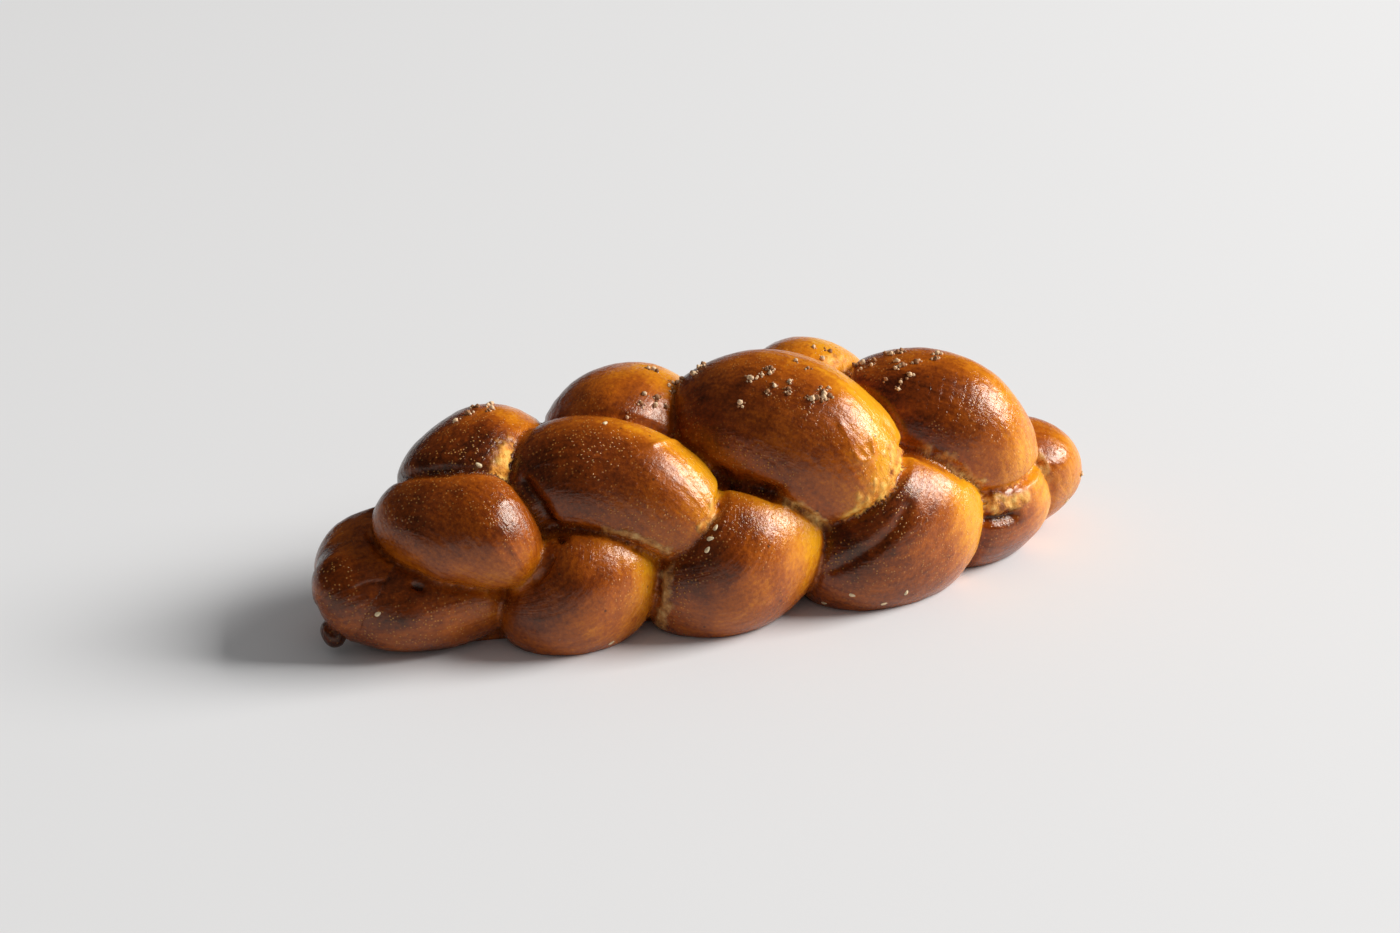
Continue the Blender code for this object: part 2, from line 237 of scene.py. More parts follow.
# Torn dough: how far it reaches, how strong and how golden it is, its (station, angle) points, and the
# strands that it stays on, where it isn't on both sides of a seam
TEARS = (
    (0.0100, 1.0, 1.0, ((0.094, 12), (0.086, 14), (0.080, 17), (0.074, 22)), (3,)),
    (0.0165, 1.0, 1.0, ((0.235, 66), (0.232, 73), (0.227, 78), (0.221, 82)), (1,)),
    (0.0100, 1.0, 1.0, ((0.221, 82), (0.212, 84)), (1,)),
    (0.0032, 0.9, 0.4, ((0.184, 70), (0.189, 74), (0.194, 78), (0.200, 85)), ()),
    (0.0062, 0.9, 0.4, ((0.249, 61), (0.257, 66), (0.265, 74), (0.272, 80)), (2,)),
    (0.0046, 0.9, 0.7, ((0.273, 86), (0.281, 92), (0.290, 93), (0.296, 92)), (2, 10)),
    (0.0035, 0.8, 0.1, ((0.130, 82), (0.130, 96), (0.129, 108), (0.130, 126)), ()),
    (0.0022, 0.8, 0.2, ((0.107, 68), (0.114, 71), (0.122, 76), (0.128, 81)), ()),
    (0.0028, 0.8, 0.6, ((0.313, 73), (0.314, 84), (0.316, 96)), ()),
    (0.0026, 0.7, 0.8, ((0.151, 65), (0.149, 69), (0.144, 73)), ()),
    (0.0060, 0.6, 1.0, ((0.226, 0), (0.235, -7)), ()),
    (0.0040, 0.9, 0.8, ((0.104, -58), (0.096, -66), (0.089, -76)), ()),
    (0.0028, 0.8, 0.4, ((0.196, -64), (0.205, -74), (0.214, -86)), ()),
    (0.0035, 0.9, 0.3, ((0.160, -84), (0.162, -98), (0.163, -112)), ()),
    (0.0032, 0.8, 0.7, ((0.268, -62), (0.276, -74), (0.282, -84)), ()),
)

# Sesame seeds: length, width and thickness, how much slimmer the pointed end is, how full the section is,
# how deep each one sits in the crust, and the rings and sides that draw it
SEED_SIZE = (0.0031, 0.0019, 0.0011)
SEED_POINT = 0.45
SEED_FULLNESS = 0.62
SEED_SINK = 0.0002
SEED_RINGS = 14
SEED_SIDES = 14
# Each seed's station, its angle about the loaf from upright toward the front, and its heading
SEEDS = (
    (0.201, 122, 10),
    (0.208, 111, -20),
    (0.222, 115, 15),
    (0.231, 111, 80),
    (0.106, 122, 35),
    (0.331, 130, 70),
    (0.144, 82, 60),
    (0.146, 78, 20),
    (0.149, 74, 100),
    (0.117, 19, 0),
    (0.064, 18, 140),
    (0.016, 114, 30),
    (0.120, -70, 50),
    (0.154, -104, 10),
    (0.196, -60, 130),
    (0.203, -112, 70),
    (0.238, -95, 20),
    (0.262, -55, 100),
    (0.066, -88, 40),
    (0.292, -80, 160),
)

# Clumps of crumbs: station, angle, how far they spread, and how many grains
CRUMB_CLUMPS = (
    (0.182, 20, 0.0025, 5),
    (0.187, 28, 0.0030, 6),
    (0.203, 33, 0.0035, 8),
    (0.206, 18, 0.0030, 2),
    (0.172, 29, 0.0010, 1),
    (0.242, 2, 0.0040, 6),
    (0.252, 5, 0.0040, 6),
    (0.252, 18, 0.0025, 5),
    (0.247, 27, 0.0025, 3),
    (0.266, 16, 0.0020, 2),
    (0.080, -19, 0.0025, 6),
    (0.066, -14, 0.0020, 2),
    (0.153, -18, 0.0020, 3),
    (0.158, -10, 0.0035, 6),
    (0.147, 4, 0.0030, 4),
    (0.134, 9, 0.0025, 2),
    (0.167, -3, 0.0025, 4),
    (0.230, -7, 0.0035, 3),
    (0.337, 110, 0.0015, 1),
)
CRUMB_RADIUS = (0.0007, 0.0012)
CRUMB_UNEVEN = (0.8, 1.2)
CRUMB_SEED = 11
# How rough a grain's surface is, how many lumps it has, how far its noise is from another grain's, and how
# high its middle lies, all per radius
CRUMB_LUMPS = 0.30
CRUMB_LUMP_SCALE = 2.2
CRUMB_NOISE_STEP = 5000.0
CRUMB_HEIGHT = 0.4
# The finer grains round each crumb: how many, their size and distance in radii of the crumb, and the share
# of pale ones
FINE_COUNT = (2, 5)
FINE_SIZE = (0.3, 0.6)
FINE_DISTANCE = (0.8, 2.2)
FINE_PALE = 0.6

# Colours of the crust from golden to darkest, and of its speckles, flecks and torn dough
CRUST_COLOURS = (
    (0.00, (0.82, 0.35, 0.009)),
    (0.26, (0.64, 0.195, 0.005)),
    (0.52, (0.38, 0.082, 0.003)),
    (0.78, (0.17, 0.029, 0.002)),
    (1.00, (0.05, 0.008, 0.001)),
)
SPECKLE_COLOUR = (0.78, 0.36, 0.08, 1.0)
FLECK_COLOUR = (0.07, 0.018, 0.005, 1.0)
TORN_BEIGE = (
    (0.34, (0.14, 0.050, 0.010)),
    (0.48, (0.44, 0.21, 0.060)),
    (0.64, (0.74, 0.48, 0.20)),
)
TORN_GOLD = (
    (0.34, (0.34, 0.08, 0.005)),
    (0.46, (0.80, 0.29, 0.016)),
    (0.62, (1.00, 0.58, 0.12)),
)
# Noises that make the toast uneven, and those that roughen the gloss, as (scale, detail, roughness, drawn
# out along the strand, and then their share of the toast or their height)
MOTTLES = (
    (75.0, 8.0, 0.70, False, 0.75),
    (22.0, 3.0, 0.50, False, 0.45),
    (420.0, 3.0, 0.50, True, 0.34),
    (640.0, 3.0, 0.60, False, 0.44),
)
GRAINS = (
    (420.0, 4.0, 0.60, True, 0.00030),
    (360.0, 3.0, 0.50, False, 0.00016),
    (1100.0, 3.0, 0.60, False, 0.00013),
)
ALONG_STREAKS = (0.14, 1.0, 1.0)
# The full middle of a dot as a share of its radius, and how sharply cells are chosen
DOT_CORE = 0.45
DOT_CHOICE = 0.02
# Small pale blisters and dark flecks: their scale, their size in a cell and the share of cells with one,
# then how much of their colour shows. The blisters lie in patches and stand up a little
BLISTERS = (820.0, 0.40, 0.42)
BLISTER_SHARE = 0.45
BLISTER_HEIGHT = 0.00012
BLISTER_PATCH_SCALE = 30.0
BLISTER_PATCH_RANGE = (0.40, 0.60)
FLECKS = (190.0, 0.16, 0.10)
FLECK_SHARE = 0.85
# The crumb of torn dough, and how much it stands up and is duller
TORN_CRUMB = (230.0, 6.0, 0.62)
TORN_HEIGHT = 0.0012
TORN_DULLER = 0.42
# The gloss: its least and most roughness, and the noise and range that it changes with
CRUST_ROUGHNESS = (0.17, 0.28)
DULL_SCALE = 48.0
DULL_RANGE = (0.35, 0.70)
CRUST_IOR = 1.53
GLOSS_COLOUR = (1.0, 0.90, 0.78, 1.0)
# Colour and roughness of the seeds and crumbs, and their fine unevenness
SESAME = ((0.88, 0.70, 0.42), 0.5)
PALE_CRUMB = ((0.92, 0.64, 0.38), 0.8)
DARK_CRUMB = ((0.42, 0.19, 0.075), 0.8)
PLAIN_SHADE = 0.6
PLAIN_GRAIN = 900.0
PLAIN_STOPS = (0.35, 0.62)
PLAIN_HEIGHT = 0.0002

# The studio: a pale table, a key light from the right, and a dim room that shows less in the gloss
FLOOR_COLOUR = (0.80, 0.80, 0.805, 1.0)
FLOOR_ROUGHNESS = 0.7
FLOOR_REACH = 9.0
KEY_PLACE = (6.8, -1.9, 4.5)
KEY_AIM = (0.0, 0.0, 0.04)
KEY_SIZE = (4.2, 3.8)
KEY_POWER = 1050.0
KEY_COLOUR = (1.0, 0.99, 0.975)
WORLD_COLOUR = (1.0, 1.0, 1.0, 1.0)
WORLD_STRENGTH = 0.25
WORLD_IN_GLOSS = 0.03

# Where the camera stands: how far it is turned and raised, its distance, and the point that it frames
CAMERA_AZIMUTH = -24.0
CAMERA_ELEVATION = 24.0
CAMERA_DISTANCE = 1.400
CAMERA_TARGET = (0.0051, 0.0177, 0.0427)
CAMERA_LENS = 85.0
SENSOR_WIDTH = 36.0


def taper(station):
    """Falls from 1 at the widest station to almost 0 at the loaf's tips."""
    reach = LEFT_REACH if station < WIDEST_STATION else RIGHT_REACH
    return max(1.0 - ((station - WIDEST_STATION) / reach) ** 2, TIP_SHARE)


def half_width(station):
    return HALF_WIDTH * taper(station) ** WIDTH_POWER


def crest(station):
    return CREST_HEIGHT * taper(station) ** CREST_POWER


@dataclass
class Strand:
    """One lobe: its centreline, the directions away from the loaf's axis and sideways, and its radii."""

    points: np.ndarray
    out: np.ndarray
    side: np.ndarray
    place: np.ndarray
    swell: np.ndarray
    radius_out: float
    radius_side: float
    rings: np.ndarray


def centreline(start, middle, end, count):
    """Points and directions of a curve through three points, closer together near its ends."""
    start, middle, end = (np.array(point) for point in (start, middle, end))
    control = 2.0 * middle - (start + end) / 2.0
    t = ((1.0 - np.cos(np.linspace(0.0, math.pi, count))) / 2.0)[:, None]
    points = (1.0 - t) ** 2 * start + 2.0 * t * (1.0 - t) * control + t**2 * end
    along = 2.0 * (1.0 - t) * (control - start) + 2.0 * t * (end - control)
    return t[:, 0], points, along / np.linalg.norm(along, axis=1)[:, None]


def lumps(place, angles, generator):
    """Shares by which a strand is fuller or thinner than an even egg, along and around it."""
    waves = np.ones((len(place), len(angles)))
    for along, around in LUMP_WAVES:
        shift, turn = generator.uniform(0.0, 2.0 * math.pi), generator.uniform(0.0, 2.0 * math.pi)
        wave = np.sin(along * place + shift)[:, None] * np.cos(around * angles + turn)[None, :]
        waves += LUMP_SHARE * wave
    return waves


def lobe(path, radius_out, radius_side, generator, widest=0.5):
    """A bent egg along a path, with one radius pointing away from the loaf's axis."""
    t, points, along = centreline(*path, RINGS)
    place = 2.0 * t ** (math.log(0.5) / math.log(widest)) - 1.0
    swell = np.sqrt(np.clip(1.0 - np.abs(place) ** PROFILE_POWER, 0.0, 1.0))
    out = points - np.array((0.0, 0.0, AXIS_HEIGHT))
    out[:, 0] = 0.0
    out -= (out * along).sum(axis=1)[:, None] * along
    out /= np.linalg.norm(out, axis=1)[:, None]
    side = np.cross(along, out)
    angles = np.linspace(0.0, 2.0 * math.pi, SIDES, endpoint=False)
    fullness = swell[:, None] * lumps(place, angles, generator)
    outward = (radius_out * fullness * np.cos(angles))[:, :, None] * out[:, None]
    sideways = (radius_side * fullness * np.sin(angles))[:, :, None] * side[:, None]
    rings = points[:, None] + outward + sideways
    return Strand(points, out, side, place, swell, radius_out, radius_side, rings)


def plait_lobe(generator, row, side, station, swelling, reach, lift, shift):
    path = []
    for pitches, across, up in ROW_PATHS[row]:
        here = station + pitches * PLAIT_PITCH * reach
        y = side * (across * half_width(here) - shift)
        path.append((here - MIDDLE_STATION, y, up * crest(here) + lift))
    radius_out, radius_side, widest = ROW_RADII[row]
    size = crest(station) * swelling
    return lobe(path, radius_out * size, radius_side * size, generator, widest)


def end_lobe(generator, start, middle, end, radius_out, radius_side):
    path = [(station - MIDDLE_STATION, across, up) for station, across, up in (start, middle, end)]
    return lobe(path, radius_out, radius_side, generator)


def core_rings():
    """The dough that shows only at the bottom of the creases, and the flat underside between lobes."""
    first, last = CORE_STATIONS
    turn = np.linspace(0.0, math.pi, RINGS)
    stations = (first + last) / 2.0 - (last - first) / 2.0 * np.cos(turn)
    angles = np.linspace(0.0, 2.0 * math.pi, SIDES, endpoint=False)
    rings = []
    for station, fullness in zip(stations, np.sin(turn) ** CORE_BLUNTNESS):
        wide = CORE_HALF_WIDTH * half_width(station) * fullness
        high = CORE_HEIGHT * crest(station) * fullness
        x = np.full(SIDES, station - MIDDLE_STATION)
        z = CORE_AXIS * high + (1.0 - CORE_AXIS) * high * np.sin(angles)
        rings.append(np.stack([x, wide * np.cos(angles), z], axis=1))
    return np.array(rings)


def tube_faces(count, sides):
    """Triangles of equal rings closed at each end by a fan round its first or last point."""
    faces = []
    for i in range(count - 1):
        for j in range(sides):
            k = (j + 1) % sides
            faces.append((i * sides + j, i * sides + k, (i + 1) * sides + k))
            faces.append((i * sides + j, (i + 1) * sides + k, (i + 1) * sides + j))
    start, end, last = count * sides, count * sides + 1, (count - 1) * sides
    for j in range(sides):
        k = (j + 1) % sides
        faces.append((start, k, j))
        faces.append((end, last + j, last + k))
    return np.array(faces)


def tube_points(rings):
    """The points of a closed tube whose first and last rings have shrunk to a tip."""
    return np.vstack([rings[1:-1].reshape(-1, 3), rings[0].mean(axis=0), rings[-1].mean(axis=0)])


def new_object(name, vertices, faces):
    mesh = bpy.data.meshes.new(name)
    mesh.from_pydata([tuple(point) for point in vertices], [], [tuple(face) for face in faces])
    obj = bpy.data.objects.new(name, mesh)
    bpy.context.scene.collection.objects.link(obj)
    return obj


def fused_crust(strands):
    """All strands and the core as one closed mesh with a flat underside."""
    faces = tube_faces(RINGS - 2, SIDES)
    tubes = [tube_points(strand.rings) for strand in strands] + [tube_points(core_rings())]
    points, triangles, first = [], [], 0
    for tube in tubes:
        points.append(tube)
        triangles.append(faces + first)
        first += len(tube)
    vertices = np.vstack(points)
    vertices[:, 2] = np.maximum(vertices[:, 2], -VOXEL)
    crust = new_object("crust", vertices, np.vstack(triangles))
    shape = bmesh.new()
    shape.from_mesh(crust.data)
    bmesh.ops.recalc_face_normals(shape, faces=shape.faces)
    shape.to_mesh(crust.data)
    shape.free()
    remesh = crust.modifiers.new("Fuse", "REMESH")
    remesh.mode = "VOXEL"
    remesh.voxel_size = VOXEL
    bpy.context.view_layer.update()
    evaluated = crust.evaluated_get(bpy.context.evaluated_depsgraph_get())
    mesh = bpy.data.meshes.new_from_object(evaluated)
    crust.modifiers.clear()
    crust.data = mesh
    return crust


def read_points(mesh):
    flat = np.empty(len(mesh.vertices) * 3)
    mesh.vertices.foreach_get("co", flat)
    return flat.reshape(-1, 3)


def write_points(mesh, vertices):
    mesh.vertices.foreach_set("co", vertices.ravel())
    mesh.update()


def read_normals(mesh):
    flat = np.empty(len(mesh.vertices) * 3)
    mesh.vertex_normals.foreach_get("vector", flat)
    return flat.reshape(-1, 3)


def read_edges(mesh):
    flat = np.empty(len(mesh.edges) * 2, dtype=int)
    mesh.edges.foreach_get("vertices", flat)
    return flat.reshape(-1, 2)


def smoothed(values, edges, rounds):
    """Averages each point's value with its neighbours'."""
    for _ in range(rounds):
        total = values.copy()
        count = np.ones(len(values))
        for ends, others in ((edges[:, 0], edges[:, 1]), (edges[:, 1], edges[:, 0])):
            count += np.bincount(ends, minlength=len(values))
            for axis in range(values.shape[1]):
                total[:, axis] += np.bincount(ends, weights=values[others, axis], minlength=len(values))
        values = total / count[:, None]
    return values


def smooth_step(value, low, high):
    t = np.clip((value - low) / (high - low), 0.0, 1.0)
    return t * t * (3.0 - 2.0 * t)


def field(points, spacing, seed):
    """Smooth noise from -1 to 1 with lumps about one spacing apart."""
    moved = points / spacing + np.array(NOISE_STEP) * seed
    return np.array([noise.noise(point) for point in moved.tolist()])


def ridges(points, spacing, seed):
    """Noise up to 1 with narrow folds and round hollows."""
    return 1.0 - RIDGE_STEEPNESS * np.abs(field(points, spacing, seed))


@dataclass
class Skin:
    """What each point knows: its strand, the next one and how far it is, and its place on the strand."""

    owner: np.ndarray
    neighbour: np.ndarray
    gap: np.ndarray
    place: np.ndarray
    strand: np.ndarray


def skin_of(points, strands):
    """Measures every point from every strand, and keeps the nearest two."""
    gaps = np.empty((len(strands), len(points)))
    places = np.empty_like(gaps)
    angles = np.empty_like(gaps)
    for n, strand in enumerate(strands):
        near = np.empty(len(points), dtype=int)
        for first in range(0, len(points), BATCH):
            some = points[first : first + BATCH]
            square = ((some[:, None] - strand.points[None]) ** 2).sum(axis=2)
            near[first : first + BATCH] = square.argmin(axis=1)
        offset = points - strand.points[near]
        outward = (offset * strand.out[near]).sum(axis=1)
        sideways = (offset * strand.side[near]).sum(axis=1)
        angle = np.arctan2(sideways / strand.radius_side, outward / strand.radius_out)
        local = strand.swell[near] * np.hypot(
            strand.radius_out * np.cos(angle), strand.radius_side * np.sin(angle)
        )
        gaps[n] = np.linalg.norm(offset, axis=1) - local
        places[n] = strand.place[near]
        angles[n] = angle
    owner = gaps.argmin(axis=0)
    rows = np.arange(len(points))
    place, angle = places[owner, rows], angles[owner, rows]
    gaps[owner, rows] = FAR
    girth = np.array([strand.radius_out for strand in strands])[owner]
    length = np.array([np.linalg.norm(strand.points[-1] - strand.points[0]) for strand in strands])[owner]
    on_strand = np.stack([place * length / 2.0, angle * girth, owner * STRAND_STEP], axis=1)
    return Skin(owner, gaps.argmin(axis=0), gaps.min(axis=0), place, on_strand)


def distance_to(points, line):
    """How far each point lies from a line through several points."""
    nearest = np.full(len(points), FAR)
    for start, end in zip(line, line[1:]):
        along = end - start
        share = np.clip((points - start) @ along / (along @ along), 0.0, 1.0)
        nearest = np.minimum(nearest, np.linalg.norm(points - start - share[:, None] * along, axis=1))
    return nearest


def tree_of(mesh):
    shape = bmesh.new()
    shape.from_mesh(mesh)
    tree = BVHTree.FromBMesh(shape)
    shape.free()
    return tree


def drawn(tree, places):
    """A line on the crust through places given by their stations and angles."""
    return [np.array(on_crust(tree, station, degrees)[0]) for station, degrees in places]


def folded_seam(skin):
    return np.isin(skin.owner, FOLDED) & np.isin(skin.neighbour, FOLDED)


def seam_depth(skin):
    share = np.where(folded_seam(skin), FAINT_SEAM, 1.0)
    return SEAM_DEPTH * np.exp(-((skin.gap / SEAM_WIDTH) ** 2)) * share


def torn_dough(points, skin, tree):
    """How torn each point of the crust is, and how golden the dough is there."""
    torn, golden = np.zeros(len(points)), np.zeros(len(points))
    ragged = sum(share * field(points, spacing, seed) for share, spacing, seed in RAGGED_EDGE)
    for reach, strength, gold, places, only in TEARS:
        far = distance_to(points, drawn(tree, places)) / reach + ragged
        here = strength * (1.0 - smooth_step(far, *TORN_RANGE))
        if only:
            here = here * np.isin(skin.owner, only)
        golden = np.where(here > torn, gold, golden)
        torn = np.maximum(torn, here)
    return torn, golden


def creased(points, tree):
    """How deep the creases are at each point, below zero on a fold."""
    depths = np.zeros(len(points))
    for depth, width, places in CREASES:
        far = distance_to(points, drawn(tree, places))
        depths += depth * np.exp(-((far / width) ** 2))
    return depths


def relief(points, skin, torn, creases):
    """How far each point of the crust moves outward."""
    stretched = smooth_step(skin.place, *STRETCHED_RANGE)
    fibrous = RELAXED_FIBRES + (1.0 - RELAXED_FIBRES) * stretched
    patchy = smooth_step(field(points, PATCH_SPACING, seed=3), *PATCH_RANGE)
    height = SWELLINGS[0] * field(points, SWELLINGS[1], seed=1)
    height += DIMPLES[0] * field(points, DIMPLES[1], seed=2)
    height += WRINKLES[0] * patchy * ridges(points, WRINKLES[1], seed=4)
    height += FIBRES[0] * fibrous * field(skin.strand * ALONG_FIBRES, FIBRES[1], seed=5)
    height += TORN_LUMPS[0] * torn * ridges(skin.strand * ALONG_RIBBONS, TORN_LUMPS[1], seed=6)
    height -= seam_depth(skin) + creases
    return height * smooth_step(points[:, 2], *RELIEF_HEIGHTS)


def blended_fold(points, edges, skin):
    """The two strands at the left end run into each other round the tip."""
    near = (1.0 - smooth_step(skin.gap, *FOLD_GAP)) * folded_seam(skin)
    tip = 1.0 - smooth_step(points[:, 0] + MIDDLE_STATION, *FOLD_STATIONS)
    share = near * (FOLD_SHARE + (1.0 - FOLD_SHARE) * tip)
    return points + share[:, None] * (smoothed(points, edges, FOLD_ROUNDS) - points)


def store(mesh, name, values):
    attribute = mesh.attributes.new(name, "FLOAT", "POINT")
    attribute.data.foreach_set("value", values.astype(np.float32))


def store_vectors(mesh, name, values):
    attribute = mesh.attributes.new(name, "FLOAT_VECTOR", "POINT")
    attribute.data.foreach_set("vector", values.astype(np.float32).ravel())


def on_crust(tree, station, degrees):
    """The point and the outward normal of the crust at a station and an angle about the loaf."""
    angle = math.radians(degrees)
    outward = Vector((0.0, -math.sin(angle), math.cos(angle)))
    axis = Vector((station - MIDDLE_STATION, 0.0, AXIS_HEIGHT))
    point, normal = tree.ray_cast(axis + outward * 2.0 * CREST_HEIGHT, -outward)[:2]
    return point, normal


def joined(name, parts):
    """One mesh piece made of many small closed shapes, each given as its points and faces."""
    points, faces, first = [], [], 0
    for vertices, triangles in parts:
        points.append(vertices)
        faces.append(np.array(triangles) + first)
        first += len(vertices)
    return new_object(name, np.vstack(points), np.vstack(faces))


def lay_on(vertices, point, normal, heading, sink):
    """A small shape's points, set on the crust with its flat side down and turned to its heading."""
    turn = normal.to_track_quat("Z", "Y").to_matrix().to_4x4() @ Matrix.Rotation(heading, 4, "Z")
    matrix = np.array(Matrix.Translation(point - normal * sink) @ turn)
    return vertices @ matrix[:3, :3].T + matrix[:3, 3]


def sesame_seeds(tree):
    """Flat drops: rounded at one end and pointed at the other."""
    length, width, thickness = SEED_SIZE
    angles = np.linspace(0.0, 2.0 * math.pi, SEED_SIDES, endpoint=False)
    rings = []
    for turn in np.linspace(0.0, math.pi, SEED_RINGS):
        x = -0.5 * math.cos(turn)
        share = SEED_FULLNESS * math.sin(turn) * (1.0 - SEED_POINT * (x + 0.5))
        y = width * share * np.cos(angles)
        z = thickness * share * np.sin(angles)
        rings.append(np.stack([np.full(SEED_SIDES, x * length), y, z], axis=1))
    seed = tube_points(np.array(rings))
    faces = tube_faces(SEED_RINGS - 2, SEED_SIDES)
    parts = []
    for station, degrees, heading in SEEDS:
        point, normal = on_crust(tree, station, degrees)
        parts.append((lay_on(seed, point, normal, math.radians(heading), SEED_SINK), faces))
    return joined("sesame_seeds", parts)


def grain(radius, generator):
    """A rough grain, drawn as the solid's and then broken up more finely."""
    shape = bmesh.new()
    bmesh.ops.create_icosphere(shape, subdivisions=1, radius=radius)
    for vertex in shape.verts:
        vertex.co *= generator.uniform(*CRUMB_UNEVEN)
    bmesh.ops.subdivide_edges(shape, edges=shape.edges, cuts=2, use_grid_fill=True, smooth=0.5)
    own_noise = Vector((radius * CRUMB_NOISE_STEP, 0.0, 0.0))
    for vertex in shape.verts:
        lump = noise.noise(vertex.co * CRUMB_LUMP_SCALE / radius + own_noise)
        vertex.co *= 1.0 + CRUMB_LUMPS * lump
    shape.verts.ensure_lookup_table()
    vertices = np.array([tuple(vertex.co) for vertex in shape.verts])
    faces = [[vertex.index for vertex in face.verts] for face in shape.faces]
    shape.free()
    return vertices, faces


def crumbs(tree):
    """The solid's grains, each with a few smaller ones fallen round it."""
    generator, fine = random.Random(CRUMB_SEED), random.Random(CRUMB_SEED + 1)
    pale, dark = [], []
    for station, degrees, spread, count in CRUMB_CLUMPS:
        for number in range(count):
            here = station + generator.gauss(0.0, spread)
            there = degrees + math.degrees(generator.gauss(0.0, spread) / HALF_WIDTH)
            radius = generator.uniform(*CRUMB_RADIUS)
            vertices, faces = grain(radius, generator)
            point, normal = on_crust(tree, here, there)
            heading = generator.uniform(0.0, math.pi)
            placed = lay_on(vertices, point, normal, heading, -CRUMB_HEIGHT * radius)
            (dark if number % 2 else pale).append((placed, faces))
            for _ in range(fine.randint(*FINE_COUNT)):
                size = radius * fine.uniform(*FINE_SIZE)
                vertices, faces = grain(size, fine)
                far = radius * fine.uniform(*FINE_DISTANCE)
                turn = fine.uniform(0.0, 2.0 * math.pi)
                beside = math.degrees(far * math.sin(turn) / HALF_WIDTH)
                point, normal = on_crust(tree, here + far * math.cos(turn), there + beside)
                placed = lay_on(vertices, point, normal, turn, -CRUMB_HEIGHT * size)
                (pale if fine.random() < FINE_PALE else dark).append((placed, faces))
    return joined("pale_crumbs", pale), joined("dark_crumbs", dark)


class Shading:
    """A new material, with short ways to add the nodes that the loaf's materials share."""

    def __init__(self, name):
        self.material = bpy.data.materials.new(name)
        self.material.use_nodes = True
        self.nodes = self.material.node_tree.nodes
        self.links = self.material.node_tree.links
        self.shader = self.nodes["Principled BSDF"]
        self.place = self.nodes.new("ShaderNodeTexCoord").outputs["Object"]

    def feed(self, target, value):
        """Links a node's output to a socket, or sets a plain value."""
        if hasattr(value, "links"):
            self.links.new(value, target)
        else:
            target.default_value = value

    def attribute(self, name, output="Fac"):
        node = self.nodes.new("ShaderNodeAttribute")
        node.attribute_name = name
        return node.outputs[output]

    def maths(self, operation, *values):
        node = self.nodes.new("ShaderNodeMath")
        node.operation = operation
        for target, value in zip(node.inputs, values):
            self.feed(target, value)
        return node.outputs[0]

    def stretched(self, vector, scale):
        node = self.nodes.new("ShaderNodeVectorMath")
        node.operation = "MULTIPLY"
        self.feed(node.inputs[0], vector)
        node.inputs[1].default_value = scale
        return node.outputs[0]

    def noise(self, scale, detail, rough=0.5, vector=None):
        node = self.nodes.new("ShaderNodeTexNoise")
        node.inputs["Scale"].default_value = scale
        node.inputs["Detail"].default_value = detail
        node.inputs["Roughness"].default_value = rough
        self.feed(node.inputs["Vector"], vector or self.place)
        return node.outputs["Fac"]

    def between(self, value, low, high, start=0.0, end=1.0):
        """Runs smoothly from start to end while the value goes from low to high."""
        node = self.nodes.new("ShaderNodeMapRange")
        node.interpolation_type = "SMOOTHSTEP"
        for target, setting in zip(node.inputs, (value, low, high, start, end)):
            self.feed(target, setting)
        return node.outputs["Result"]

    def dots(self, scale, radius, share):
        """Round dots with a soft rim in some of the cells of a scattered pattern."""
        node = self.nodes.new("ShaderNodeTexVoronoi")
        node.inputs["Scale"].default_value = scale
        self.feed(node.inputs["Vector"], self.place)
        dot = self.between(node.outputs["Distance"], radius * DOT_CORE, radius, 1.0, 0.0)
        pick = self.nodes.new("ShaderNodeSeparateColor")
        self.feed(pick.inputs[0], node.outputs["Color"])
        chosen = self.between(pick.outputs[0], 1.0 - share, 1.0 - share + DOT_CHOICE)
        return self.maths("MULTIPLY", dot, chosen)

    def ramp(self, value, *stops):
        node = self.nodes.new("ShaderNodeValToRGB")
        elements = node.color_ramp.elements
        while len(elements) < len(stops):
            elements.new(1.0)
        for element, (position, colour) in zip(elements, stops):
            element.position = position
            element.color = colour + (1.0,)
        self.feed(node.inputs["Fac"], value)
        return node.outputs["Color"]

    def mix(self, share, first, second):
        node = self.nodes.new("ShaderNodeMix")
        node.data_type = "RGBA"
        self.feed(node.inputs[0], share)
        self.feed(node.inputs[6], first)
        self.feed(node.inputs[7], second)
        return node.outputs[2]

    def bump(self, height, distance, under=None):
        node = self.nodes.new("ShaderNodeBump")
        node.inputs["Strength"].default_value = 1.0
        node.inputs["Distance"].default_value = distance
        self.feed(node.inputs["Height"], height)
        if under:
            self.feed(node.inputs["Normal"], under)
        return node.outputs["Normal"]


